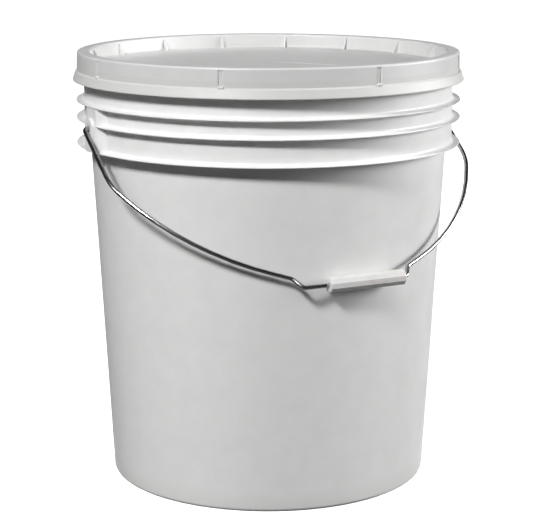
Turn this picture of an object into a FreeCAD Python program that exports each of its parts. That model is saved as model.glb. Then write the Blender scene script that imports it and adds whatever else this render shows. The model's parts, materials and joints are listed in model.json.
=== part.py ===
import FreeCAD, Part
import math
import os

from FreeCAD import Vector

# Plastic fermenting bucket, about 30 litres: a moulded pail with three rim ribs and two ears, a
# press-on lid with a rubber gasket in its channel, and a steel bail with a loose plastic grip.
# Millimetres. +Z is up, the origin is the centre of the base, and X runs through the two ears.
# The bail is at rest when its grip hangs against the pail's -Y side.

# --- pail ---
PAIL_HEIGHT = 388.0          # floor to the top of the rim
COLLAR_R = 168.0             # outside of the upright wall between the ribs
COLLAR_STEP = 5.2            # the tapered body starts this much inside the collar
BODY_DRAFT = 3.1             # taper of the body, degrees a side
PAIL_WALL = 2.3
FLOOR_WALL = 2.8
FOOT_HEIGHT = 4.0            # the floor panel stands this far above the ground
FOOT_WIDTH = 8.6             # foot ring, from its inner edge to the body's corner
FOOT_CORNER = 4.0            # round outside corner of the foot
INNER_CORNER = 6.0           # round corner between the wall and the floor inside
RIB_DROPS = (39.2, 55.0, 78.1)   # from the rim's top to the underside of each rib
RIB_OUT = 7.2                # how far a rib stands out
RIB_LIP = 1.0                # thickness of its outer edge
RIB_COVE = 3.0               # radius of the cove that carries the wall down into a rib
RIB_EDGE = 0.4               # rounding of a rib's edges
RIM_BEAD_OUT = 3.2           # the bead round the rim that the lid closes over
RIM_BEAD_HEIGHT = 7.0
RIM_BEAD_SLOPE = 3.0         # height of the bead's sloping underside
RIM_ROUND = 1.0

# --- ears ---
PIVOT_DROP = 57.0            # from the rim's top to the bail's axis
EAR_HALF_FACE = 11.0         # half the width of the ear's outer face
EAR_HALF_ROOT = 20.0         # half its width where it meets the collar
EAR_SET_BACK = 0.7           # the ear's face lies this far inside the rib tips
LUG_R = 9.0                  # arched lug round the bail's hole
LUG_OUT = 2.5
EAR_PLATE = 4.4              # thickness left between the hole's mouth and the pocket
POCKET_ROOM = 1.3            # room round the bail's head in the ear's pocket
POCKET_BACK = 0.6            # plastic between the collar's outside and the pocket

# --- lid ---
LID_WALL = 2.2
LID_GAP = 0.4                # play between the rim bead and the lid's skirt
PLUG_GAP = 1.1               # play between the pail's inside and the lid's plug wall
SKIRT_DRAFT = 0.5            # the skirt is this much wider at its step than at its top
SKIRT_STEP_DROP = 16.9       # from the lid's top to the step above the flare
LEDGE_OUT = 1.3              # narrow sloping ledge at the step
LEDGE_DROP = 1.2
FLARE_OUT = 3.7              # from the skirt to the widest line
FLARE_HEIGHT = 8.1           # from the step down to the widest line
LIP_HEIGHT = 1.0             # from the widest line down to the lower edge
LIP_ROUND = 0.4
LID_TOP_ROUND = 2.0
LID_INNER_ROUND = 2.0
PANEL_DROP = 13.0            # from the lid's top down to its sunk panel
PLUG_DRAFT = 2.0             # the sunk wall is this much narrower at the panel
NOTCH_COUNT = 8
NOTCH_WIDTH = 5.0
NOTCH_DEPTH = 0.6
NOTCH_TURN = 5.0             # clocking of the first notch from +X, degrees
NIB_R = 1.6                  # raised nib at the foot of each notch
NIB_WIDTH = 6.0
GUSSET_COUNT = 16
GUSSET_TURN = 12.0
GUSSET_THICK = 1.8
GUSSET_FOOT = 5.0            # how far a gusset reaches along the panel
GUSSET_TOP = 1.2
GUSSET_SINK = 2.5            # the gusset's top lies this far below the lid's top
PAD_CENTRE = (31.0, -16.0)   # blank raised pad on the panel
PAD_SIZE = (64.0, 12.0)
PAD_TURN = -57.0
PAD_RISE = 0.6

# --- gasket ---
GASKET_HEIGHT = 3.0
GASKET_GAP = 0.3             # play at each side of the gasket in the channel
GASKET_ROUND = 0.8

# --- bail and grip ---
WIRE_R = 1.9
PIVOT_GAP = 0.1              # running clearance of the wire in the ears and in the grip
HEAD_R = 3.2                 # upset head that keeps the wire in the ear
HEAD_LENGTH = 2.0
BAIL_SIDE_GAP = 1.4          # between the bail's legs and the lid's flare
BAIL_SWING_GAP = 14.0        # between the grip and the lid's top edge as it swings over
EAR_BEND = 4.5               # centre-line radii of the bends
SHOULDER_BEND = 56.0
HIP_BEND = 8.0
SEAT_BEND = 5.0
SHOULDER_IN = 1.2            # each leg leans in this much on its way to the shoulder
SHOULDER_AWAY = 0.347        # the shoulder's distance from the pivot, as a share of the reach
BOW_POINT = (0.771, 0.747)   # where the bow's two sides would cross: shares of span and reach
BOW_FILL = 0.84              # share of its shorter side that the bow's curve takes up
SEAT_HALF = 50.5             # half the straight seat of the grip
SEAT_STEP = (6.5, 11.5)      # the wire steps out along and away to reach its seat
GRIP_LENGTH = 74.0
GRIP_R = 7.0
GRIP_FLATS = 10              # shallow flats run along the grip
GRIP_FLAT_DEPTH = 0.35
GRIP_END_ROUND = 1.5
GRIP_END_GAP = 0.4           # the grip has slid this close to the bend of its seat
REST_GAP = 0.3               # between the grip and the pail at rest

# --- worked out ---
RIB_TIP_R = COLLAR_R + RIB_OUT
SHOULDER_Z = PAIL_HEIGHT - RIB_DROPS[-1]
BODY_TOP_R = COLLAR_R - COLLAR_STEP
COLLAR_INNER_R = COLLAR_R - PAIL_WALL
RIM_BEAD_R = COLLAR_R + RIM_BEAD_OUT
PIVOT_Z = PAIL_HEIGHT - PIVOT_DROP
EAR_FACE_X = RIB_TIP_R - EAR_SET_BACK
LUG_FACE_X = EAR_FACE_X + LUG_OUT
POCKET_OUTER_X = LUG_FACE_X - EAR_PLATE
POCKET_INNER_X = COLLAR_R + POCKET_BACK
CHANNEL_TOP_Z = PAIL_HEIGHT + GASKET_HEIGHT
LID_TOP_Z = CHANNEL_TOP_Z + LID_WALL
SKIRT_INNER_R = RIM_BEAD_R + LID_GAP
SKIRT_OUTER_R = SKIRT_INNER_R + LID_WALL
SKIRT_STEP_Z = LID_TOP_Z - SKIRT_STEP_DROP
FLARE_R = SKIRT_OUTER_R + SKIRT_DRAFT + FLARE_OUT
FLARE_Z = SKIRT_STEP_Z - FLARE_HEIGHT
LIP_Z = FLARE_Z - LIP_HEIGHT
PLUG_OUTER_R = COLLAR_INNER_R - PLUG_GAP
PLUG_INNER_R = PLUG_OUTER_R - LID_WALL
PANEL_Z = LID_TOP_Z - PANEL_DROP
HALF_SPAN = FLARE_R + WIRE_R + BAIL_SIDE_GAP
REACH = math.hypot(SKIRT_OUTER_R, LID_TOP_Z - PIVOT_Z) + GRIP_R + BAIL_SWING_GAP
FULL_TURN = 360.0
REST_ROUNDS = 40             # rounds of solving for the bail's angle at rest
UP = Vector(0, 0, 1)
ORIGIN = Vector(0, 0, 0)


def body_radius(z):
    """Outside radius of the tapered body at a height."""
    return BODY_TOP_R - (SHOULDER_Z - z) * math.tan(math.radians(BODY_DRAFT))


def rest_angle():
    """Angle of the hanging bail from straight down, where its grip meets the pail."""
    angle = math.radians(FULL_TURN / 8)
    for _ in range(REST_ROUNDS):
        height = PIVOT_Z - REACH * math.cos(angle)
        angle = math.asin((body_radius(height) + REST_GAP + GRIP_R) / REACH)
    return angle


REST = rest_angle()
SEAT_Y = -REACH * math.sin(REST)
SEAT_Z = PIVOT_Z - REACH * math.cos(REST)


def rounded_wire(corners, place, closed=True):
    """Straight runs joined by tangent arcs. A corner is (u, v, radius), and place makes it 3-D."""
    last = len(corners) - 1
    bends = []
    for index, (u, v, radius) in enumerate(corners):
        here = Vector(u, v, 0)
        open_end = not closed and index in (0, last)
        if radius == 0 or open_end:
            bends.append((here, None, here))
            continue
        back = (Vector(*corners[index - 1][:2], 0) - here).normalize()
        ahead = (Vector(*corners[(index + 1) % (last + 1)][:2], 0) - here).normalize()
        half = back.getAngle(ahead) / 2
        trim = radius / math.tan(half)
        middle = here + (back + ahead).normalize() * (radius / math.sin(half) - radius)
        bends.append((here + back * trim, middle, here + ahead * trim))
    edges = []
    for index, (entry, middle, leave) in enumerate(bends):
        if middle is not None:
            edges.append(Part.Arc(place(entry), place(middle), place(leave)).toShape())
        if index < last or closed:
            target = bends[(index + 1) % (last + 1)][0]
            if (target - leave).Length > Part.Precision.confusion():
                edges.append(Part.LineSegment(place(leave), place(target)).toShape())
    return Part.Wire(edges)


def turned(corners):
    """A solid of revolution about Z from a closed outline of (radius, height, rounding)."""
    outline = rounded_wire(corners, lambda p: Vector(p.x, 0, p.y))
    return Part.Face(outline).revolve(ORIGIN, UP, FULL_TURN)


def prism(points, direction):
    """A straight prism on a closed outline of 3-D points."""
    return Part.Face(Part.makePolygon(points + points[:1])).extrude(direction)


def spun(shape, degrees):
    """A copy turned about the bucket's own axis."""
    copy = shape.copy()
    copy.rotate(ORIGIN, UP, degrees)
    return copy


def rib_corners(drop, root_r):
    """Outline of one rib, going up: a flat underside, a thin edge, then a cove to the wall."""
    under = PAIL_HEIGHT - drop
    return [
        (root_r, under, 0),
        (RIB_TIP_R, under, RIB_EDGE),
        (RIB_TIP_R, under + RIB_LIP, RIB_EDGE),
        (COLLAR_R, under + RIB_LIP, RIB_COVE),
    ]


def pail_shell():
    foot_r = body_radius(0)
    floor_z = FOOT_HEIGHT + FLOOR_WALL
    bead_z = PAIL_HEIGHT - RIM_BEAD_HEIGHT
    corners = [
        (0, FOOT_HEIGHT, 0),
        (foot_r - FOOT_WIDTH, FOOT_HEIGHT, RIM_ROUND),
        (foot_r - FOOT_WIDTH, 0, RIM_ROUND),
        (foot_r, 0, FOOT_CORNER),
    ]
    corners += rib_corners(RIB_DROPS[2], BODY_TOP_R)
    corners += rib_corners(RIB_DROPS[1], COLLAR_R)
    corners += rib_corners(RIB_DROPS[0], COLLAR_R)
    corners += [
        (COLLAR_R, bead_z, 0),
        (RIM_BEAD_R, bead_z + RIM_BEAD_SLOPE, RIM_ROUND),
        (RIM_BEAD_R, PAIL_HEIGHT, RIM_ROUND),
        (COLLAR_INNER_R, PAIL_HEIGHT, RIM_ROUND),
        (COLLAR_INNER_R, SHOULDER_Z + PAIL_WALL, PAIL_WALL),
        (BODY_TOP_R - PAIL_WALL, SHOULDER_Z - PAIL_WALL, PAIL_WALL),
        (body_radius(floor_z) - PAIL_WALL, floor_z, INNER_CORNER),
        (0, floor_z, 0),
    ]
    return turned(corners)


def ear():
    """The +X ear: a sloped block across the ribs, an arched lug and the bail's hole and pocket."""
    bottom = SHOULDER_Z
    top = PAIL_HEIGHT - RIB_DROPS[0] + RIB_EDGE
    root_x = math.sqrt((COLLAR_INNER_R + PAIL_WALL / 2) ** 2 - EAR_HALF_ROOT ** 2)
    block = prism([
        Vector(root_x, -EAR_HALF_ROOT, bottom),
        Vector(EAR_FACE_X, -EAR_HALF_FACE, bottom),
        Vector(EAR_FACE_X, EAR_HALF_FACE, bottom),
        Vector(root_x, EAR_HALF_ROOT, bottom),
    ], UP * (top - bottom))
    block = block.cut(Part.makeCylinder(COLLAR_INNER_R + PAIL_WALL / 2, top, ORIGIN, UP))
    outward = Vector(1, 0, 0)
    lug_depth = LUG_FACE_X - COLLAR_R
    arch = Part.makeCylinder(LUG_R, lug_depth, Vector(COLLAR_R, 0, PIVOT_Z), outward)
    stem = Part.makeBox(lug_depth, 2 * LUG_R, PIVOT_Z - bottom, Vector(COLLAR_R, -LUG_R, bottom))
    return block.fuse([arch, stem])


def ear_hollow():
    """What is cut from the +X ear: a pocket open underneath, and the bail's hole into it."""
    room = HEAD_R + POCKET_ROOM
    pocket = Part.makeBox(POCKET_OUTER_X - POCKET_INNER_X, 2 * room, PIVOT_Z + room - SHOULDER_Z,
                          Vector(POCKET_INNER_X, -room, SHOULDER_Z))
    hole = Part.makeCylinder(WIRE_R + PIVOT_GAP, LUG_FACE_X - POCKET_INNER_X,
                             Vector(POCKET_INNER_X, 0, PIVOT_Z), Vector(1, 0, 0))
    return pocket.fuse(hole)


def pail_body():
    ears = [spun(ear(), turn) for turn in (0, FULL_TURN / 2)]
    hollows = [spun(ear_hollow(), turn) for turn in (0, FULL_TURN / 2)]
    return pail_shell().fuse(ears).cut(hollows).removeSplitter()


def lid_shell():
    return turned([
        (0, PANEL_Z - LID_WALL, 0),
        (PLUG_OUTER_R - PLUG_DRAFT, PANEL_Z - LID_WALL, LID_INNER_ROUND),
        (PLUG_OUTER_R, CHANNEL_TOP_Z, 0),
        (SKIRT_INNER_R, CHANNEL_TOP_Z, 0),
        (SKIRT_INNER_R + SKIRT_DRAFT, SKIRT_STEP_Z, 0),
        (FLARE_R - LID_WALL, FLARE_Z, 0),
        (FLARE_R - LID_WALL, LIP_Z, 0),
        (FLARE_R, LIP_Z, LIP_ROUND),
        (FLARE_R, FLARE_Z, LIP_ROUND),
        (SKIRT_OUTER_R + SKIRT_DRAFT + LEDGE_OUT, SKIRT_STEP_Z - LEDGE_DROP, LIP_ROUND),
        (SKIRT_OUTER_R + SKIRT_DRAFT, SKIRT_STEP_Z, LIP_ROUND),
        (SKIRT_OUTER_R, LID_TOP_Z, LID_TOP_ROUND),
        (PLUG_INNER_R, LID_TOP_Z, LID_INNER_ROUND),
        (PLUG_INNER_R - PLUG_DRAFT, PANEL_Z, LID_INNER_ROUND),
        (0, PANEL_Z, 0),
    ])


def gusset():
    """One small web between the lid's sunk wall and its panel."""
    lean = PLUG_DRAFT / PANEL_DROP
    inside = LID_WALL / 2
    top_z = LID_TOP_Z - GUSSET_SINK
    top_r = PLUG_INNER_R - GUSSET_SINK * lean
    foot_z = PANEL_Z - inside
    foot_r = PLUG_INNER_R - PLUG_DRAFT
    half = GUSSET_THICK / 2
    return prism([
        Vector(foot_r - GUSSET_FOOT, -half, foot_z),
        Vector(foot_r + inside, -half, foot_z),
        Vector(top_r + inside, -half, top_z),
        Vector(top_r - GUSSET_TOP, -half, top_z),
    ], Vector(0, GUSSET_THICK, 0))


def notch():
    """The shallow recess cut into the skirt at each of its tear lines."""
    bottom = SKIRT_STEP_Z + NIB_R / 2
    height = LID_TOP_Z - LID_TOP_ROUND - bottom
    return Part.makeBox(2 * NOTCH_DEPTH, NOTCH_WIDTH, height,
                        Vector(SKIRT_OUTER_R - NOTCH_DEPTH, -NOTCH_WIDTH / 2, bottom))


def nib():
    """The small round nib on the step below a notch."""
    centre = Vector(SKIRT_OUTER_R + SKIRT_DRAFT, -NIB_WIDTH / 2, SKIRT_STEP_Z)
    return Part.makeCylinder(NIB_R, NIB_WIDTH, centre, Vector(0, 1, 0))


def label_pad():
    """The blank raised pad on the panel, with round ends."""
    length, width = PAD_SIZE
    half, end = length / 2 - width / 2, width / 2
    base = PANEL_Z - LID_WALL / 2
    bar = Part.makeBox(2 * half, width, LID_WALL / 2 + PAD_RISE, Vector(-half, -end, base))
    ends = [Part.makeCylinder(end, LID_WALL / 2 + PAD_RISE, Vector(side * half, 0, base), UP)
            for side in (-1, 1)]
    pad = bar.fuse(ends)
    pad.rotate(ORIGIN, UP, PAD_TURN)
    pad.translate(Vector(*PAD_CENTRE, 0))
    return pad


def lid():
    gussets = [spun(gusset(), GUSSET_TURN + FULL_TURN * k / GUSSET_COUNT)
               for k in range(GUSSET_COUNT)]
    turns = [NOTCH_TURN + FULL_TURN * k / NOTCH_COUNT for k in range(NOTCH_COUNT)]
    notches = [spun(notch(), turn) for turn in turns]
    nibs = [spun(nib(), turn) for turn in turns]
    shell = lid_shell().cut(notches)
    return shell.fuse(gussets + nibs + [label_pad()]).removeSplitter()


def lid_gasket():
    inner = PLUG_OUTER_R + GASKET_GAP
    outer = SKIRT_INNER_R - GASKET_GAP
    return turned([
        (inner, PAIL_HEIGHT, GASKET_ROUND),
        (outer, PAIL_HEIGHT, GASKET_ROUND),
        (outer, CHANNEL_TOP_Z, GASKET_ROUND),
        (inner, CHANNEL_TOP_Z, GASKET_ROUND),
    ])


def on_bail(point):
    """A point of the hanging bail: along the pivot axis, and away from it."""
    return Vector(point.x, -point.y * math.sin(REST), PIVOT_Z - point.y * math.cos(REST))


def bail_wire():
    head_x = (POCKET_INNER_X + POCKET_OUTER_X) / 2
    shoulder = Vector(HALF_SPAN - SHOULDER_IN, SHOULDER_AWAY * REACH, 0)
    bow = Vector(BOW_POINT[0] * HALF_SPAN, BOW_POINT[1] * REACH, 0)
    hip = Vector(SEAT_HALF + SEAT_STEP[0], REACH - SEAT_STEP[1], 0)
    before, after = bow - shoulder, hip - bow
    bow_side = BOW_FILL * min(before.Length, after.Length)
    bow_bend = bow_side / math.tan(before.getAngle(after) / 2)
    half = [
        (head_x, 0, 0),
        (HALF_SPAN, 0, EAR_BEND),
        (shoulder.x, shoulder.y, SHOULDER_BEND),
        (bow.x, bow.y, bow_bend),
        (hip.x, hip.y, HIP_BEND),
        (SEAT_HALF, REACH, SEAT_BEND),
    ]
    mirrored = [(-x, away, radius) for x, away, radius in reversed(half)]
    path = rounded_wire(half + mirrored, on_bail, closed=False)
    start = Vector(head_x, 0, PIVOT_Z)
    section = Part.Wire(Part.makeCircle(WIRE_R, start, Vector(1, 0, 0)))
    wire = path.makePipeShell([section], True, False)
    heads = [Part.makeCylinder(HEAD_R, HEAD_LENGTH, Vector(x - HEAD_LENGTH / 2, 0, PIVOT_Z),
                               Vector(1, 0, 0)) for x in (-head_x, head_x)]
    return wire.fuse(heads).removeSplitter()


def bail_grip():
    """A round sleeve with shallow flats along it, turning on the bail's straight seat."""
    bend = math.atan2(SEAT_STEP[1], SEAT_STEP[0])
    right = SEAT_HALF - SEAT_BEND * math.tan(bend / 2) - GRIP_END_GAP
    left = right - GRIP_LENGTH
    along = Vector(1, 0, 0)
    sleeve = Part.makeCylinder(GRIP_R, GRIP_LENGTH, Vector(left, 0, 0), along)
    sleeve = sleeve.makeFillet(GRIP_END_ROUND, [edge for edge in sleeve.Edges
                                                if isinstance(edge.Curve, Part.Circle)])
    flat = Part.makeBox(GRIP_LENGTH, 2 * GRIP_R, GRIP_R,
                        Vector(left, -GRIP_R, GRIP_R - GRIP_FLAT_DEPTH))
    flats = []
    for k in range(GRIP_FLATS):
        copy = flat.copy()
        copy.rotate(ORIGIN, along, FULL_TURN * (k + 0.5) / GRIP_FLATS)
        flats.append(copy)
    bore = Part.makeCylinder(WIRE_R + PIVOT_GAP, GRIP_LENGTH, Vector(left, 0, 0), along)
    grip = sleeve.cut(flats + [bore])
    grip.translate(Vector(0, SEAT_Y, SEAT_Z))
    return grip


PIECES = {
    "pail_body": pail_body,
    "lid": lid,
    "lid_gasket": lid_gasket,
    "bail_wire": bail_wire,
    "bail_grip": bail_grip,
}

os.makedirs("parts", exist_ok=True)
for node, make in PIECES.items():
    solid = make()
    solid.exportStep("parts/" + node + ".step")
    box = solid.BoundBox
    print(node, "valid", solid.isValid(), "solids", len(solid.Solids), "volume", round(solid.Volume),
          "box", [round(v, 2) for v in (box.XMin, box.XMax, box.YMin, box.YMax, box.ZMin, box.ZMax)])
print("bail rests", round(math.degrees(REST), 3), "degrees from straight down, reach", round(REACH, 2))
print("grip axis y", round(SEAT_Y, 3), "z", round(SEAT_Z, 3), "pivot z", PIVOT_Z)
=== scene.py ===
import json
import math

import bpy
import numpy as np
from mathutils import Matrix, Vector


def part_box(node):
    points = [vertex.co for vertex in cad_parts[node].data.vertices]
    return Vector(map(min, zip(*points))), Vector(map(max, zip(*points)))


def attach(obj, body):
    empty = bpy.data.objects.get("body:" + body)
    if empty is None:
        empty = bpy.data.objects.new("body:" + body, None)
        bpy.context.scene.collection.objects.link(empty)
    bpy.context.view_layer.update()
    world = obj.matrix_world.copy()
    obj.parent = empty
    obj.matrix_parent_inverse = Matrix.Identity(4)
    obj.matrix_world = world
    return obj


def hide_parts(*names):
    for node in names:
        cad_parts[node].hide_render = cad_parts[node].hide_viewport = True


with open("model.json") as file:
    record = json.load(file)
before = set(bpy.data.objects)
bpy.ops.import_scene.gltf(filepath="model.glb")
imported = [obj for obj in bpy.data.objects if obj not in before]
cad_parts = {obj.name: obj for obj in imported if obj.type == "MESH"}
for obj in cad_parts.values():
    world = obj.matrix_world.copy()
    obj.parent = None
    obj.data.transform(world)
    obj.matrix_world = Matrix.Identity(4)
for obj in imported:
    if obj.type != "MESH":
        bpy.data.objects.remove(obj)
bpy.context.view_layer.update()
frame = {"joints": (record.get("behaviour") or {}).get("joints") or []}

# The looks of a 30 litre plastic fermenting bucket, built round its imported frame, in metres.
# Each piece is a lathe or a sweep of its own outline; ears, webs and notches are pressed into it.

MM = 0.001
TURN = 2 * math.pi
CREASE = math.radians(38)     # edges that turn by more stay crisp
ARC_STEP = math.radians(9)
FINE_ARC_STEP = math.radians(5)
TINY = MM / 20
SKIN = 0.1 * MM               # how near a row lies to the skin that it belongs to

# ---------------------------------------------------------------- sizes read from the frame
JOINTS = {joint["name"]: joint for joint in frame["joints"]}
PIVOT = Vector(JOINTS["bail_swing"]["pos_m"])
SEAT = Vector(JOINTS["grip_spin"]["pos_m"])
RIM_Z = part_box("pail_body")[1].z
LID_LOW, LID_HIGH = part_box("lid")
GASKET_LOW, GASKET_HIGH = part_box("lid_gasket")
GRIP_LOW, GRIP_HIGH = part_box("bail_grip")

# ---------------------------------------------------------------- pail
COLLAR_R = 168.0 * MM
SHOULDER_R = 162.8 * MM
WALL = 2.3 * MM
RIB_DROPS = (78.1 * MM, 55.0 * MM, 39.2 * MM)
RIB_OUT = 7.2 * MM
RIB_LIP = 1.0 * MM
RIB_COVE = 3.0 * MM
RIB_EDGE = 0.45 * MM
RIB_TIP = COLLAR_R + RIB_OUT
RIB_1_Z, RIB_2_Z, RIB_3_Z = (RIM_Z - drop for drop in reversed(RIB_DROPS))
DRAFT = math.tan(math.radians(3.1))
FOOT_Z = 4.0 * MM
FOOT_WIDTH = 8.6 * MM
FOOT_CORNER = 4.0 * MM
FLOOR_Z = 6.8 * MM
FLOOR_CORNER = 6.0 * MM
BEAD_R = 171.2 * MM
BEAD_HEIGHT = 7.0 * MM
BEAD_SLOPE = 3.0 * MM
EDGE = 1.0 * MM
GATE_R = (5.0 * MM, 5.6 * MM, 7.0 * MM)       # groove round the gate mark under the floor
GATE_DEPTH = 1.0 * MM
BASE_RINGS = (42.0 * MM, 84.0 * MM, 126.0 * MM)
RING_FOOT = 1.1 * MM
RING_CREST = 0.7 * MM
RING_DEPTH = 1.2 * MM
PAIL_COLUMNS = 288
WANDER_OVAL = 0.10            # how far the moulded wall strays, in millimetres
WANDER_PUCKER = 0.06
WANDER_SPIRAL = 0.05
WANDER_STOP = 2 * MM

# ---------------------------------------------------------------- ears
EAR_FACE = 174.5 * MM
EAR_HALF_FACE = 11.0 * MM
EAR_HALF_ROOT = 20.0 * MM
EAR_ROOT = 166.0 * MM
LUG_R = 9.0 * MM
LUG_OUT = 2.5 * MM
HOLE_R = 2.0 * MM
DISH_R = 3.6 * MM
DISH_DEPTH = 0.6 * MM
POCKET_X = (168.6 * MM, 172.6 * MM)
POCKET_HALF = 4.5 * MM
POCKET_BELOW = 1 * MM
EAR_REACH = EAR_HALF_ROOT + 2 * MM
EAR_CORNER = 0.5 * MM
LUG_EDGE = (-0.1 * MM, 0.9 * MM)
DISH_EDGE = 0.3 * MM
ROOT_SINK = 0.25 * MM         # keeps the rows under a swollen rib apart
DRILL_START = 1 * MM
DRILL_LENGTH = 8 * MM
DRILL_COLUMNS = 40
EAR_COLUMNS = np.arange(-22, 22.01, 0.4) * MM / COLLAR_R     # turns of the close columns on an ear

# ---------------------------------------------------------------- lid
SKIRT_IN = 171.6 * MM
SKIRT_OUT = 173.8 * MM
SKIRT_DRAFT = 0.5 * MM
STEP_R = SKIRT_OUT + SKIRT_DRAFT
STEP_Z = LID_HIGH.z - 16.9 * MM
FLARE_R = LID_HIGH.x
FLARE_Z = STEP_Z - 8.1 * MM
LEDGE_OUT = 1.3 * MM
LEDGE_DROP = 1.2 * MM
LIP_ROUND = 0.4 * MM
PLUG_OUT = 164.6 * MM
PLUG_IN = 162.4 * MM
PLUG_DRAFT = 2.0 * MM
PANEL_Z = LID_HIGH.z - 13.0 * MM
LID_WALL = 2.2 * MM
CHANNEL_Z = LID_HIGH.z - LID_WALL
CHANNEL_ROUND = 0.4 * MM
PANEL_CLOSE_R = 100 * MM      # closer rows start here, for the pad
PANEL_HUB_R = 2 * MM
TOP_ROUND = 2.0 * MM
INNER_ROUND = 2.0 * MM
NOTCH_COUNT = 8
NOTCH_TURN = math.radians(5.0)
NOTCHES = [NOTCH_TURN + TURN * k / NOTCH_COUNT for k in range(NOTCH_COUNT)]
NOTCH_HALF = 2.5 * MM
NOTCH_DEPTH = 0.6 * MM
NOTCH_EDGE = 0.25 * MM
NOTCH_OFFSETS = np.array((-3.2, -3, -2.85, -2.6, -2.4, -2.2, -1.2))
NIB_HALF = 3.0 * MM
NIB_R = 1.6 * MM
GUSSET_COUNT = 16
GUSSET_TURN = math.radians(12.0)
GUSSETS = [GUSSET_TURN + TURN * k / GUSSET_COUNT for k in range(GUSSET_COUNT)]
GUSSET_HALF = 0.9 * MM
GUSSET_SHARES = np.array((-1, -0.88, 0, 0.88, 1))
GUSSET_FOOT = 5.0 * MM
GUSSET_TOP = 1.2 * MM
GUSSET_Z = LID_HIGH.z - 2.5 * MM
PAD_CENTRE = (31.0 * MM, -16.0 * MM)
PAD_HALF = (26.0 * MM, 6.0 * MM)
PAD_TURN = math.radians(-57.0)
PAD_RISE = 0.6 * MM
PAD_EDGE = 0.6 * MM
LID_WARP = 0.35 * MM
WARP_SHARES = (0.55, 0.3, 0.15)
LID_COLUMNS = 360

# ---------------------------------------------------------------- gasket
GASKET_PLAY = 0.3 * MM
GASKET_ROUND = 0.8 * MM
GASKET_COLUMNS = 240

# ---------------------------------------------------------------- bail and grip
WIRE_R = 1.9 * MM
WIRE_SIDES = 24
WIRE_STEP = 5 * MM
HEAD_R = 3.2 * MM
HEAD_HALF = 1.0 * MM
HEAD_CHAMFER = 0.4 * MM
HALF_SPAN = 181.3 * MM
EAR_BEND = 4.5 * MM
SHOULDER = (180.1 * MM, 71.3 * MM, 56.0 * MM)
BOW = (139.8 * MM, 153.6 * MM)
BOW_FILL = 0.84
HIP = (57.0 * MM, 194.1 * MM, 8.0 * MM)
SEAT_HALF = 50.5 * MM
SEAT_BEND = 5.0 * MM
GRIP_R = 7.0 * MM
GRIP_FLATS = 10
GRIP_FLAT_R = 6.65 * MM
GRIP_END = 1.5 * MM
GRIP_SHARES = np.array((-0.5, -0.485, -0.46, -0.42, -0.3, 0, 0.3, 0.42, 0.46, 0.485))
BORE_EDGE = 0.5 * MM

# ---------------------------------------------------------------- wear and painted shade
SCRATCH_STRETCH = 0.03
SCRATCH_EDGE = 0.03
PAIL_SHADE_HEIGHT = 40 * MM
LID_SHADE_R = 0.145
LID_SHADE_WIDTH = 16 * MM
LID_SHADE_HEIGHT = 4 * MM

# ---------------------------------------------------------------- studio
FLOOR_R = 40.0
FLOOR_UNDER = -1 * MM
FLOOR_TOP = -0.1 * MM
FLOOR_COLUMNS = 64
FLOOR_GLOW = 1.0
CAMERA_TURN = math.radians(-27)
CAMERA_AWAY = 1.629
CAMERA_HEIGHT = 0.541
CAMERA_ASIDE = -0.00165
CAMERA_DIP = math.radians(12.15)
CAMERA_LENS = 120.2
CAMERA_SENSOR = 36
CAMERA_REACH = 100
LIGHT_AIM = Vector((0, 0, 0.25))


# ================================================================ shader maths
class Flow:
    """One output of a node, so that shader maths reads as plain expressions."""

    def __init__(self, nodes, socket):
        self.nodes = nodes
        self.socket = socket

    def _maths(self, operation, first, second):
        return self.nodes.node("ShaderNodeMath", {"operation": operation}, {0: first, 1: second})

    def __add__(self, other):
        return self._maths("ADD", self, other)

    def __sub__(self, other):
        return self._maths("SUBTRACT", self, other)

    def __mul__(self, other):
        return self._maths("MULTIPLY", self, other)

    def __radd__(self, other):
        return self._maths("ADD", other, self)

    def __rsub__(self, other):
        return self._maths("SUBTRACT", other, self)

    def __rmul__(self, other):
        return self._maths("MULTIPLY", other, self)


class Nodes:
    """A node tree, with one way to add a node to it."""

    def __init__(self, tree):
        self.tree = tree

    def node(self, kind, settings, inputs, output=0):
        """Adds a node: its settings first, then its sockets' values or links."""
        made = self.tree.nodes.new(kind)
        for name, value in settings.items():
            if name == "stops":
                self._set_stops(made.color_ramp, value)
            else:
                setattr(made, name, value)
        for name, value in inputs.items():
            if isinstance(value, Flow):
                self.tree.links.new(value.socket, made.inputs[name])
            else:
                made.inputs[name].default_value = value
        return Flow(self, made.outputs[output])

    @staticmethod
    def _set_stops(ramp, stops):
        while len(ramp.elements) < len(stops):
            ramp.elements.new(1.0)
        for element, (place, value) in zip(ramp.elements, stops):
            element.position = place
            element.color = (value, value, value, 1)

    def ramp(self, value, *stops):
        """A value run through stops of (place, result)."""
        return self.node("ShaderNodeValToRGB", {"stops": stops}, {0: value})

    def vector(self, operation, first, second, output=0):
        return self.node("ShaderNodeVectorMath", {"operation": operation}, {0: first, 1: second},
                         output)

    def blend(self, factor, first, second):
        """A colour between two colours."""
        return self.node("ShaderNodeMix", {"data_type": "RGBA"}, {0: factor, 6: first, 7: second},
                         output=2)


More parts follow.
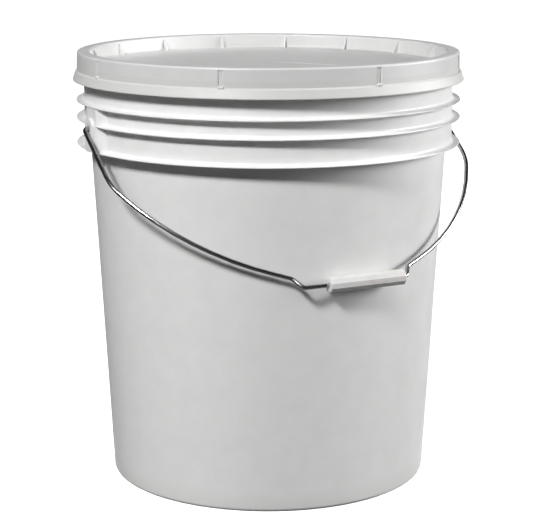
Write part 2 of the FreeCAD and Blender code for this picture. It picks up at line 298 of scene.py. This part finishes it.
class Finish(Nodes):
    """One material: a Principled shader and the nodes that feed it."""

    def __init__(self, name, constants):
        self.material = bpy.data.materials.new(name)
        self.material.use_nodes = True
        super().__init__(self.material.node_tree)
        self.shader = self.tree.nodes["Principled BSDF"]
        self.place = self.node("ShaderNodeTexCoord", {}, {}, output="Object")
        for socket, value in constants.items():
            self.shader.inputs[socket].default_value = value

    def stretched(self, scales, place=None):
        return self.vector("MULTIPLY", place or self.place, scales)

    def noise(self, scale, detail=2.0, place=None):
        return self.node("ShaderNodeTexNoise", {},
                         {"Vector": place or self.place, "Scale": scale, "Detail": detail})

    def across_axis(self):
        """Distance from the bucket's own axis."""
        return self.vector("LENGTH", self.stretched((1, 1, 0)), (0, 0, 0), output="Value")

    def height(self):
        return self.node("ShaderNodeSeparateXYZ", {}, {0: self.place}, output="Z")

    def scratches(self, turns, fineness, share):
        """Thin straight marks that run several ways, 1 on a mark and 0 beside it."""
        marks = None
        for turn in turns:
            turned = self.node("ShaderNodeMapping", {}, {"Vector": self.place, "Rotation": turn,
                                                         "Scale": (1, SCRATCH_STRETCH, 1)})
            noise = self.noise(fineness, 1.0, turned)
            lines = self.ramp(noise, (share, 0), (share + SCRATCH_EDGE, 1))
            marks = lines if marks is None else marks + lines
        return marks

    def bump(self, height, distance, under=None):
        inputs = {"Height": height, "Distance": distance, "Strength": 1.0}
        if under is not None:
            inputs["Normal"] = under
        return self.node("ShaderNodeBump", {}, inputs)

    def feed(self, flows):
        """Links flows to the shader's sockets and gives back the material."""
        for socket, flow in flows.items():
            self.tree.links.new(flow.socket, self.shader.inputs[socket])
        return self.material


# ================================================================ mesh building
def rounded(corners, closed=False, step=ARC_STEP):
    """Points along straight runs joined by tangent arcs.

    A corner is (u, v), then its rounding, then the longest step on the run that leaves it.
    """
    corners = [tuple(c) + (0, math.inf)[len(c) - 2:] for c in corners]
    last = len(corners) - 1
    bends = []
    for index, (u, v, radius, _) in enumerate(corners):
        here = np.array((u, v))
        if radius == 0 or (not closed and index in (0, last)):
            bends.append([here])
            continue
        back = np.array(corners[index - 1][:2]) - here
        ahead = np.array(corners[(index + 1) % (last + 1)][:2]) - here
        back, ahead = back / np.linalg.norm(back), ahead / np.linalg.norm(ahead)
        half = math.acos(float(back @ ahead)) / 2
        trim = radius / math.tan(half)
        centre = here + (back + ahead) / np.linalg.norm(back + ahead) * radius / math.sin(half)
        first, final = here + back * trim - centre, here + ahead * trim - centre
        sweep = math.pi - 2 * half
        count = max(2, math.ceil(sweep / step))
        bends.append([centre + (first * math.sin(sweep * (1 - t)) + final * math.sin(sweep * t))
                      / math.sin(sweep) for t in np.linspace(0, 1, count + 1)])
    points = []
    for index, bend in enumerate(bends):
        points += bend
        if index < last or closed:
            start, end = bend[-1], bends[(index + 1) % (last + 1)][0]
            pieces = max(1, math.ceil(np.linalg.norm(end - start) / corners[index][3]))
            points += [start + (end - start) * k / pieces for k in range(1, pieces)]
    kept = [p for p, before in zip(points, points[-1:] + points[:-1])
            if np.linalg.norm(p - before) > MM / 100]
    return np.array(kept)


def new_object(name, vertices, faces):
    """A smooth-shaded object with crisp creases."""
    mesh = bpy.data.meshes.new(name)
    mesh.from_pydata(np.asarray(vertices).tolist(), [], faces)
    mesh.shade_smooth()
    mesh.set_sharp_from_angle(angle=CREASE)
    piece = bpy.data.objects.new(name, mesh)
    bpy.context.scene.collection.objects.link(piece)
    return piece


def lathe(name, outline, angles, press=None, closed=False):
    """Turns an outline of (radius, height) about Z, counter-clockwise angles in rising order.

    press(angle, r, z) gives one column's own radii and heights. An open outline starts and ends
    on the axis.
    """
    columns = [press(angle, *outline.T) if press else outline.T for angle in angles]
    inner = slice(None) if closed else slice(1, -1)
    vertices = np.concatenate([np.stack((r * math.cos(a), r * math.sin(a), z), axis=1)[inner]
                               for a, (r, z) in zip(angles, columns)])
    rows, count = len(outline[inner]), len(angles)
    faces = []
    for column in range(count):
        here, there = column * rows, (column + 1) % count * rows
        for row in range(rows if closed else rows - 1):
            up = (row + 1) % rows
            faces.append((here + row, there + row, there + up, here + up))
    if not closed:
        first, last = len(vertices), len(vertices) + 1
        ends = [(0, 0, np.mean([z[end] for _, z in columns])) for end in (0, -1)]
        vertices = np.concatenate((vertices, ends))
        for column in range(count):
            here, there = column * rows, (column + 1) % count * rows
            faces.append((first, there, here))
            faces.append((last, here + rows - 1, there + rows - 1))
    return new_object(name, vertices, faces)


def column_angles(count, marks=()):
    """An even share of the turn, plus columns at each (centre, offsets) and none crowding them."""
    exact = {round((centre + offset) % TURN, 6) for centre, offsets in marks for offset in offsets}
    even = [TURN * k / count for k in range(count)]
    clear = TURN / count / 3
    if exact:
        even = [angle for angle in even if abs(turned_from(angle, exact)) > clear]
    return sorted(even + list(exact))


def soft_step(value, low, high):
    """0 below low, 1 above high, and a smooth rise between."""
    t = np.clip((value - low) / (high - low), 0, 1)
    return t * t * (3 - 2 * t)


def turned_from(angle, centres):
    """The signed turn to the nearest of some centres."""
    turns = [(angle - centre + math.pi) % TURN - math.pi for centre in centres]
    return min(turns, key=abs)


def sweep(name, stations):
    """Rings along stations of (centre, side, up, radius, distance along), closed at both ends.

    The grain attribute holds the place along the wire and round it, for its drawn texture.
    """
    around = WIRE_SIDES
    circle = [TURN * k / around for k in range(around)]
    vertices, grain = [], []
    for centre, side, up, radius, along in stations:
        vertices += [centre + (side * math.cos(a) + up * math.sin(a)) * radius for a in circle]
        grain += [(along, math.cos(a) * WIRE_R, math.sin(a) * WIRE_R) for a in circle]
    faces = [tuple(range(around)), tuple(reversed(range(len(vertices) - around, len(vertices))))]
    for ring in range(len(stations) - 1):
        here, there = ring * around, (ring + 1) * around
        faces += [(here + k, there + k, there + (k + 1) % around, here + (k + 1) % around)
                  for k in range(around)]
    piece = new_object(name, vertices, faces)
    attribute = piece.data.attributes.new("grain", "FLOAT_VECTOR", "POINT")
    attribute.data.foreach_set("vector", np.array(grain).ravel())
    return piece


# ================================================================ pail
def body_radius(z):
    return SHOULDER_R - (RIB_3_Z - z) * DRAFT


def rib(under, root, finest=math.inf):
    """Outline of one rib, going up: a flat underside, a thin edge, then a cove to the wall."""
    return [(root, under), (RIB_TIP, under, RIB_EDGE), (RIB_TIP, under + RIB_LIP, RIB_EDGE),
            (COLLAR_R, under + RIB_LIP, RIB_COVE, finest)]


def pail_outline():
    fine, coarse = 0.5 * MM, 6 * MM
    inner = COLLAR_R - WALL
    foot_in = body_radius(0) - FOOT_WIDTH
    corners = [(0, FOOT_Z), (GATE_R[0], FOOT_Z), (GATE_R[1], FOOT_Z - GATE_DEPTH), (GATE_R[2], FOOT_Z)]
    for ring in BASE_RINGS:
        corners += [(ring - RING_FOOT, FOOT_Z), (ring - RING_CREST, FOOT_Z - RING_DEPTH),
                    (ring + RING_CREST, FOOT_Z - RING_DEPTH), (ring + RING_FOOT, FOOT_Z)]
    corners += [(foot_in, FOOT_Z, EDGE), (foot_in, 0, EDGE), (body_radius(0), 0, FOOT_CORNER, coarse)]
    corners += rib(RIB_3_Z, SHOULDER_R, fine) + rib(RIB_2_Z, COLLAR_R, fine) + rib(RIB_1_Z, COLLAR_R)
    corners += [
        (COLLAR_R, RIM_Z - BEAD_HEIGHT),
        (BEAD_R, RIM_Z - BEAD_HEIGHT + BEAD_SLOPE, EDGE),
        (BEAD_R, RIM_Z, EDGE),
        (inner, RIM_Z, EDGE, coarse),
        (inner, RIB_3_Z + WALL, WALL),
        (SHOULDER_R - WALL, RIB_3_Z - WALL, WALL, coarse),
        (body_radius(FLOOR_Z) - WALL, FLOOR_Z, FLOOR_CORNER, 5 * coarse),
        (0, FLOOR_Z),
    ]
    return rounded(corners, step=FINE_ARC_STEP)


def ear_skin(turn, z):
    """Radius of an ear's skin at a turn from its middle: a sloped block and an arched lug."""
    out, across = EAR_FACE - EAR_ROOT, EAR_HALF_ROOT - EAR_HALF_FACE
    face = EAR_FACE / math.cos(turn)
    slope = ((across * EAR_FACE + out * EAR_HALF_FACE)
             / (across * math.cos(turn) + out * abs(math.sin(turn))))
    block = face - EAR_CORNER * math.log(1 + math.exp((face - slope) / EAR_CORNER))
    y = EAR_FACE * math.tan(turn)
    inside = LUG_R - np.hypot(y, np.maximum(0, z - PIVOT.z))
    dish = 1 - soft_step(np.hypot(y, z - PIVOT.z), HOLE_R + DISH_EDGE, DISH_R)
    lug = LUG_OUT * soft_step(inside, *LUG_EDGE) - DISH_DEPTH * dish
    return block + lug / math.cos(turn)


def press_pail(angle, r, z):
    """Swells the ears out of the collar, and lets the moulded body wander a little."""
    outer = (z > FOOT_Z) & (z < RIB_3_Z - WANDER_STOP) & (r > body_radius(z) - SKIN)
    wander = (WANDER_OVAL * math.sin(2 * angle + 0.6)
              + WANDER_PUCKER * math.sin(5 * angle) * np.sin(z * 21)
              + WANDER_SPIRAL * np.sin(3 * angle + z * 34) - WANDER_OVAL) * MM
    r = r + np.where(outer, wander * np.sin(np.clip(z / RIB_3_Z, 0, 1) * math.pi), 0)
    turn = turned_from(angle, (0, math.pi))
    if abs(turn) * COLLAR_R > EAR_REACH:
        return r, z
    band = (z > RIB_3_Z - TINY) & (z < RIB_1_Z + TINY) & (r > COLLAR_R - TINY)
    skin = ear_skin(turn, z)
    raised = band & (skin > r)
    roots = raised & (r < COLLAR_R + TINY) & ((abs(z - RIB_2_Z) < TINY) | (abs(z - RIB_1_Z) < TINY))
    return np.where(raised, skin, r), z - np.where(roots, ROOT_SINK, 0)


def box_cutter(low, high):
    """A closed box that only cuts."""
    corners = [(x, y, z) for x in (low[0], high[0]) for y in (low[1], high[1])
               for z in (low[2], high[2])]
    faces = [(0, 1, 3, 2), (4, 6, 7, 5), (0, 4, 5, 1), (2, 3, 7, 6), (0, 2, 6, 4), (1, 5, 7, 3)]
    return new_object("cutter", corners, faces)


def hole_cutter(side):
    """A closed rod that cuts the bail's hole through one ear."""
    rod = rounded([(0, 0), (HOLE_R, 0), (HOLE_R, DRILL_LENGTH), (0, DRILL_LENGTH)])
    cutter = lathe("cutter", rod, column_angles(DRILL_COLUMNS))
    lie = Matrix.Rotation(side * math.pi / 2, 4, "Y")
    cutter.data.transform(Matrix.Translation((side * (POCKET_X[0] + DRILL_START), 0, PIVOT.z)) @ lie)
    return cutter


def cut(piece, cutters):
    for cutter in cutters:
        modifier = piece.modifiers.new("cut", "BOOLEAN")
        modifier.object = cutter
        modifier.operation = "DIFFERENCE"
        modifier.solver = "MANIFOLD"
    whole = bpy.data.meshes.new_from_object(
        piece.evaluated_get(bpy.context.evaluated_depsgraph_get()))
    piece.modifiers.clear()
    piece.data = whole
    whole.shade_smooth()
    for cutter in cutters:
        bpy.data.objects.remove(cutter)
    whole.set_sharp_from_angle(angle=CREASE)


def make_pail():
    angles = column_angles(PAIL_COLUMNS, [(0, EAR_COLUMNS), (math.pi, EAR_COLUMNS)])
    piece = lathe("pail", pail_outline(), angles, press_pail)
    cutters = []
    for side in (1, -1):
        ends = sorted((side * POCKET_X[0], side * POCKET_X[1]))
        cutters.append(box_cutter((ends[0], -POCKET_HALF, RIB_3_Z - POCKET_BELOW),
                                  (ends[1], POCKET_HALF, PIVOT.z + POCKET_HALF)))
        cutters.append(hole_cutter(side))
    cut(piece, cutters)
    return piece


# ================================================================ lid
def lid_outline():
    fine, panel = 0.5 * MM, 1.5 * MM
    corners = [
        (0, PANEL_Z - LID_WALL),
        (PLUG_OUT - PLUG_DRAFT, PANEL_Z - LID_WALL, INNER_ROUND),
        (PLUG_OUT, CHANNEL_Z, CHANNEL_ROUND),
        (SKIRT_IN, CHANNEL_Z, CHANNEL_ROUND),
        (SKIRT_IN + SKIRT_DRAFT, STEP_Z),
        (FLARE_R - LID_WALL, FLARE_Z),
        (FLARE_R - LID_WALL, LID_LOW.z),
        (FLARE_R, LID_LOW.z, LIP_ROUND),
        (FLARE_R, FLARE_Z, LIP_ROUND, fine),
        (STEP_R + LEDGE_OUT, STEP_Z - LEDGE_DROP, LIP_ROUND, fine),
        (STEP_R, STEP_Z, LIP_ROUND, fine),
        (SKIRT_OUT, LID_HIGH.z, TOP_ROUND, fine),
        (PLUG_IN, LID_HIGH.z, INNER_ROUND, fine),
        (PLUG_IN - PLUG_DRAFT, PANEL_Z, INNER_ROUND, fine),
        (PLUG_IN - PLUG_DRAFT - GUSSET_FOOT - fine, PANEL_Z, 0, 4 * panel),
        (PANEL_CLOSE_R, PANEL_Z, 0, panel),
        (PANEL_HUB_R, PANEL_Z),
        (0, PANEL_Z),
    ]
    return rounded(corners)


LID_OUTLINE = lid_outline()
LID_TOP_ROW = int(np.argmax(LID_OUTLINE[:, 1]))


def gusset_rows(r, z):
    """The rows of the lid's sunk wall and panel that a gusset covers, laid on its long side."""
    rows = np.arange(len(r))
    covered = (rows > LID_TOP_ROW) & (z <= GUSSET_Z) & (r >= PLUG_IN - PLUG_DRAFT - GUSSET_FOOT)
    index = np.flatnonzero(covered)
    top = r[index[0]]
    bends = np.array([(top, z[index[0]]), (top - GUSSET_TOP, GUSSET_Z), (r[index[-1]], PANEL_Z)])
    lengths = np.append(0, np.cumsum(np.linalg.norm(np.diff(bends, axis=0), axis=1)))
    places = np.linspace(0, lengths[-1], len(index))
    return index, np.interp(places, lengths, bends[:, 0]), np.interp(places, lengths, bends[:, 1])


def press_lid(angle, r, z):
    """Presses gussets, notches, nibs, the blank pad and a slight warp into the lid."""
    r, z = r.copy(), z.copy()
    rows = np.arange(len(r))
    outer = (rows < LID_TOP_ROW) & (r > SKIRT_OUT - 2 * SKIN)
    offset = turned_from(angle, NOTCHES) * SKIRT_OUT
    recess = soft_step(-abs(offset), -NOTCH_HALF, -NOTCH_HALF + NOTCH_EDGE)
    recess = recess * soft_step(z, STEP_Z + NIB_R / 2, STEP_Z + NIB_R)
    recess = recess * soft_step(-z, -(LID_HIGH.z - TOP_ROUND), -(LID_HIGH.z - TOP_ROUND - MM))
    r = np.where(outer, r - recess * np.maximum(0, r - (SKIRT_OUT - NOTCH_DEPTH)), r)
    if abs(offset) < NIB_HALF:
        bulge = NIB_R * (1 - (offset / NIB_HALF) ** 6)
        reach = STEP_R + np.sqrt(np.maximum(0, bulge ** 2 - (z - STEP_Z) ** 2))
        r = np.where(outer & (abs(z - STEP_Z) < bulge), np.maximum(r, reach), r)
    if abs(turned_from(angle, GUSSETS)) * PLUG_IN < GUSSET_HALF - 0.02 * MM:
        index, gusset_r, gusset_z = gusset_rows(*LID_OUTLINE.T)
        r[index], z[index] = gusset_r, gusset_z
    x, y = r * math.cos(angle) - PAD_CENTRE[0], r * math.sin(angle) - PAD_CENTRE[1]
    along = x * math.cos(PAD_TURN) + y * math.sin(PAD_TURN)
    across = y * math.cos(PAD_TURN) - x * math.sin(PAD_TURN)
    beyond = np.hypot(np.maximum(0, abs(along) - PAD_HALF[0]), across) - PAD_HALF[1]
    panel = (rows > LID_TOP_ROW) & (r < PLUG_IN - 2 * GUSSET_FOOT)
    z = z + np.where(panel, PAD_RISE * soft_step(-beyond, -PAD_EDGE, PAD_EDGE), 0)
    level, oval, lobed = WARP_SHARES
    sag = LID_WARP * (level + oval * math.sin(2 * angle + 0.7) + lobed * math.sin(3 * angle))
    return r, z - sag * np.clip((z - LID_LOW.z) / (LID_HIGH.z - LID_LOW.z), 0, 1)


def make_lid():
    web = GUSSET_SHARES * GUSSET_HALF / PLUG_IN
    notch = np.concatenate((NOTCH_OFFSETS, (0,), -NOTCH_OFFSETS)) * MM / SKIRT_OUT
    marks = [(centre, web) for centre in GUSSETS] + [(centre, notch) for centre in NOTCHES]
    return lathe("lid_shell", LID_OUTLINE, column_angles(LID_COLUMNS, marks), press_lid)


def make_gasket():
    inner, outer = PLUG_OUT + GASKET_PLAY, SKIRT_IN - GASKET_PLAY
    section = [(inner, GASKET_LOW.z, GASKET_ROUND), (outer, GASKET_LOW.z, GASKET_ROUND),
               (outer, GASKET_HIGH.z, GASKET_ROUND), (inner, GASKET_HIGH.z, GASKET_ROUND)]
    angles = column_angles(GASKET_COLUMNS)
    return lathe("gasket_ring", rounded(section, closed=True), angles, closed=True)


# ================================================================ bail and grip
def bail_path():
    """The wire's centre line in the bail's own plane: along the pivot, and away from it."""
    head = sum(POCKET_X) / 2
    reach = (SEAT - PIVOT).length
    shoulder, bow, hip = (np.array(p[:2]) for p in (SHOULDER, BOW, HIP))
    before, after = bow - shoulder, hip - bow
    side = BOW_FILL * min(np.linalg.norm(before), np.linalg.norm(after))
    turn = math.acos(float(-before @ after) / np.linalg.norm(before) / np.linalg.norm(after))
    half = [(head, 0), (HALF_SPAN, 0, EAR_BEND), SHOULDER, BOW + (side * math.tan(turn / 2),),
            HIP, (SEAT_HALF, reach, SEAT_BEND)]
    half = [tuple(c) + (0,) * (3 - len(c)) + (WIRE_STEP,) for c in half]
    return rounded(half + [(-c[0],) + c[1:] for c in reversed(half)], step=FINE_ARC_STEP)


def make_bail():
    path = bail_path()
    hang = SEAT - PIVOT
    away = Vector((0, hang.y, hang.z)).normalized()
    up = Vector((1, 0, 0)).cross(away)
    runs = np.linalg.norm(np.diff(path, axis=0), axis=1)
    along = np.append(0, np.cumsum(runs))
    ahead = np.gradient(path, along, axis=0)
    stations = []
    for (u, v), (du, dv), distance in zip(path, ahead, along):
        forward = Vector((du, 0, 0)) + away * dv
        side = forward.normalized().cross(up)
        stations.append((Vector((u, 0, PIVOT.z)) + away * v, side, up, WIRE_R, distance))
    head = [(-HEAD_HALF, HEAD_R - HEAD_CHAMFER), (-HEAD_HALF + HEAD_CHAMFER, HEAD_R),
            (HEAD_HALF - HEAD_CHAMFER, HEAD_R), (HEAD_HALF, HEAD_R - HEAD_CHAMFER),
            (HEAD_HALF, WIRE_R)]
    near, far = stations[0], stations[-1]
    out = Vector((1, 0, 0))
    start = [(near[0] + out * step, near[1], up, radius, step) for step, radius in head]
    finish = [(far[0] - out * step, far[1], up, radius, far[4] - step) for step, radius in head]
    return sweep("bail", start + stations[1:-1] + finish[::-1])


def make_grip():
    """A sleeve with shallow flats along it, lathed about Z and then laid along the bail's seat."""
    length = GRIP_HIGH.x - GRIP_LOW.x
    bore = HOLE_R
    section = [(bore, 0, BORE_EDGE), (GRIP_R, 0, GRIP_END), (GRIP_R, length, GRIP_END),
               (bore, length, BORE_EDGE)]
    share = TURN / GRIP_FLATS
    corner = GRIP_SHARES * share
    flats = [share * (k + 0.5) for k in range(GRIP_FLATS)]

    def press_grip(angle, r, z):
        flat = GRIP_FLAT_R / math.cos(turned_from(angle, flats))
        return np.where(r > 2 * bore, r * min(1, flat / GRIP_R), r), z

    angles = column_angles(GRIP_FLATS, [(flat, corner) for flat in flats])
    piece = lathe("grip", rounded(section, closed=True), angles, press_grip, closed=True)
    lay = Matrix.Rotation(math.pi / 2, 4, "Y")
    piece.data.transform(Matrix.Translation((GRIP_LOW.x, SEAT.y, SEAT.z)) @ lay)
    return piece


# ================================================================ finishes
def white_polyethylene(name, whiteness_and_shade, grain, shade_and_wear_mask):
    """Satin white polyethylene: orange peel, faint flow streaks, rub marks, dark specks and painted
    shade.

    grain stretches the flow streaks; shade_and_wear_mask gives the finish's own mask of painted shade
    and worn places.
    """
    dull, pale = ((whiteness_and_shade * tone, whiteness_and_shade * tone, whiteness_and_shade * (tone - 0.005), 1)
                  for tone in (0.80, 0.835))
    finish = Finish(name, {"IOR": 1.54, "Subsurface Weight": 0.08, "Subsurface Scale": 0.004,
                           "Subsurface Radius": (1.0, 0.95, 0.9)})
    streaks = finish.noise(26, 4, finish.stretched(grain))
    mottle = finish.noise(60, 5)
    scuffs = finish.scratches(((0.2, 0, 0.5), (0.6, 0.3, 1.7)), 420, 0.69)
    shade_and_wear = shade_and_wear_mask(finish)
    specks = finish.ramp(finish.noise(700, 1), (0.74, 0), (0.78, 1))
    clean = finish.blend(finish.ramp(mottle, (0.3, 0), (0.7, 1)), dull, pale)
    # grey painted into shaded and worn places
    shaded_and_worn = finish.blend(shade_and_wear * finish.ramp(mottle, (0.25, 0.4), (0.75, 1)), clean,
                         (0.56, 0.55, 0.53, 1))
    colour = finish.blend(specks * 0.25, shaded_and_worn, (0.42, 0.40, 0.37, 1))
    peel = finish.noise(900, 2) + finish.noise(240, 1) * 1.5
    height = peel + scuffs * -0.8
    return finish.feed({
        "Base Color": colour,
        "Roughness": 0.27 + streaks * 0.16 + mottle * 0.08 + scuffs * 0.12 + shade_and_wear * 0.2,
        "Normal": finish.bump(height, 0.02 * MM, finish.bump(streaks, 0.08 * MM)),
    })


def pail_foot_shade_and_rib_wear(finish):
    """Painted shade that greys the pail towards its foot, and a rub round the outermost edge of its
    ribs.
    """
    # painted shade, darker towards the foot
    low = finish.ramp(finish.height() * (1 / PAIL_SHADE_HEIGHT), (0.05, 1), (0.5, 0))
    worn = finish.ramp((finish.across_axis() - COLLAR_R) * (1 / RIB_OUT), (0.9, 0), (0.99, 1))
    return low * 0.35 + worn * 0.16


def lid_corner_shade(finish):
    """Painted shade in the corner where the sunk panel meets its wall."""
    panel_edge = (finish.across_axis() - LID_SHADE_R) * (1 / LID_SHADE_WIDTH)
    sunk = finish.ramp((finish.height() - PANEL_Z) * (1 / LID_SHADE_HEIGHT), (0.0, 1), (0.6, 0))
    return finish.ramp(panel_edge, (0.1, 0), (0.95, 1)) * sunk * 0.5


def gasket_rubber():
    finish = Finish("gasket_rubber", {"IOR": 1.52})
    bloom = finish.noise(90, 5)
    colour = finish.blend(finish.ramp(bloom, (0.35, 0), (0.7, 1)), (0.52, 0.53, 0.53, 1),
                          (0.62, 0.62, 0.61, 1))
    return finish.feed({
        "Base Color": colour,
        "Roughness": 0.55 + bloom * 0.2,
        "Normal": finish.bump(finish.noise(1500, 2), 0.03 * MM),
    })


def bail_steel():
    """Bright drawn wire: die lines along it, a little dulling and a few dark specks."""
    finish = Finish("drawn_steel", {"Metallic": 1.0})
    grain = finish.node("ShaderNodeAttribute", {"attribute_name": "grain"}, {}, output="Vector")
    die_lines = finish.noise(1600, 3, finish.stretched((0.02, 1, 1), grain))
    dulling = finish.noise(220, 5, finish.stretched((0.3, 1, 1), grain))
    specks = finish.ramp(finish.noise(1100, 2), (0.68, 0), (0.76, 1))
    bright = finish.blend(finish.ramp(dulling, (0.35, 0), (0.75, 1)), (0.52, 0.52, 0.53, 1),
                          (0.36, 0.36, 0.37, 1))
    colour = finish.blend(specks * 0.6, bright, (0.12, 0.11, 0.10, 1))
    return finish.feed({
        "Base Color": colour,
        "Roughness": 0.07 + dulling * 0.16 + die_lines * 0.06 + specks * 0.2,
        "Normal": finish.bump(die_lines, 0.04 * MM, finish.bump(dulling, 0.06 * MM)),
    })


def grip_plastic():
    """Smooth white sleeve with extrusion lines along it and rubbed, slightly greyer flats."""
    finish = Finish("grip_plastic", {"IOR": 1.52, "Subsurface Weight": 0.3,
                                     "Subsurface Scale": 0.006})
    lines = finish.noise(900, 3, finish.stretched((0.02, 1, 1)))
    handling = finish.noise(110, 4)
    colour = finish.blend(finish.ramp(handling, (0.4, 0), (0.75, 1)), (0.66, 0.66, 0.655, 1),
                          (0.58, 0.578, 0.57, 1))
    return finish.feed({
        "Base Color": colour,
        "Roughness": 0.26 + handling * 0.18 + lines * 0.08,
        "Normal": finish.bump(lines, 0.05 * MM, finish.bump(finish.noise(500, 2), 0.02 * MM)),
    })


def studio_floor():
    """Glowing white sweep: it stays evenly white round the bucket."""
    finish = Finish("studio_floor", {"Roughness": 0.9, "Emission Strength": FLOOR_GLOW,
                                     "Emission Color": (1, 1, 1, 1)})
    tone = finish.ramp(finish.noise(3, 2), (0.3, 0.86), (0.7, 0.88))
    return finish.feed({"Base Color": tone})


# ================================================================ the studio
def seen_from_camera(aside, away):
    """A level place given by how far right of the bucket and how far towards the camera it lies."""
    right = Vector((math.cos(CAMERA_TURN), math.sin(CAMERA_TURN), 0))
    nearer = Vector((math.sin(CAMERA_TURN), -math.cos(CAMERA_TURN), 0))
    return right * aside + nearer * away


def place_camera():
    data = bpy.data.cameras.new("camera")
    data.lens = CAMERA_LENS
    data.sensor_width = CAMERA_SENSOR
    data.clip_end = CAMERA_REACH
    camera = bpy.data.objects.new("camera", data)
    camera.location = seen_from_camera(CAMERA_ASIDE, CAMERA_AWAY) + Vector((0, 0, CAMERA_HEIGHT))
    camera.rotation_euler = (math.pi / 2 - CAMERA_DIP, 0, CAMERA_TURN)
    bpy.context.scene.collection.objects.link(camera)
    bpy.context.scene.camera = camera


def place_light(name, turn, rise, away, size, power):
    """A soft box, turned right of the camera and raised, in degrees, facing the bucket."""
    data = bpy.data.lights.new(name, "AREA")
    data.shape = "RECTANGLE"
    data.size, data.size_y = size
    data.energy = power
    light = bpy.data.objects.new(name, data)
    level = seen_from_camera(math.sin(math.radians(turn)), math.cos(math.radians(turn)))
    towards = level * math.cos(math.radians(rise)) + Vector((0, 0, math.sin(math.radians(rise))))
    light.location = LIGHT_AIM + towards * away
    light.rotation_euler = towards.to_track_quat("Z", "Y").to_euler()
    bpy.context.scene.collection.objects.link(light)


def light_the_sky():
    """White to the eye, and a soft studio room to everything that it lights or is mirrored in."""
    world = bpy.data.worlds.new("studio")
    world.use_nodes = True
    bpy.context.scene.world = world
    sky = Nodes(world.node_tree)
    direction = sky.node("ShaderNodeTexCoord", {}, {}, output="Generated")
    rise = sky.node("ShaderNodeSeparateXYZ", {}, {0: direction}, output="Z")
    room = sky.ramp(rise * 0.5 + 0.5, (0.48, 0.10), (0.5, 0.02))
    eye = sky.node("ShaderNodeLightPath", {}, {}, output="Is Camera Ray")
    tone = sky.blend(eye, room, (1, 1, 1, 1))
    background = world.node_tree.nodes["Background"]
    world.node_tree.links.new(tone.socket, background.inputs["Color"])


def lay_floor():
    """A wide round sheet under the bucket, a hair below its foot."""
    disc = rounded([(0, FLOOR_UNDER), (FLOOR_R, FLOOR_UNDER), (FLOOR_R, FLOOR_TOP), (0, FLOOR_TOP)])
    floor = lathe("floor", disc, column_angles(FLOOR_COLUMNS))
    floor.data.materials.append(studio_floor())
    for rays in ("visible_diffuse", "visible_glossy", "visible_shadow"):
        setattr(floor, rays, False)


# ================================================================ the bucket put together
def fit(piece, node, body, material):
    """Stands a piece in for its CAD node, on its body, with its own finish."""
    piece.data.materials.clear()
    piece.data.materials.append(material)
    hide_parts(node)
    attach(piece, body)


fit(make_pail(), "pail_body", "pail",
    white_polyethylene("pail_polyethylene", 1.0, (1, 1, 0.12), pail_foot_shade_and_rib_wear))
# the lid's plastic is greyer than the pail's: partly its own tone, partly painted shade on its top and
# skirt
fit(make_lid(), "lid", "lid",
    white_polyethylene("lid_polyethylene_shade_greyed", 0.82, (1, 1, 0.4), lid_corner_shade))
fit(make_gasket(), "lid_gasket", "lid", gasket_rubber())
fit(make_bail(), "bail_wire", "bail", bail_steel())
fit(make_grip(), "bail_grip", "grip", grip_plastic())

lay_floor()
light_the_sky()
place_camera()
place_light("key", turn=-30, rise=40, away=5, size=(0.8, 0.8), power=232)
place_light("left_fill", turn=-50, rise=36, away=5, size=(0.8, 0.8), power=28)
place_light("side_softbox", turn=95, rise=15, away=3, size=(2.0, 1.0), power=99)
place_light("back_fill", turn=180, rise=-32, away=4, size=(3.0, 1.2), power=90)
bpy.context.scene.view_settings.view_transform = "Standard"
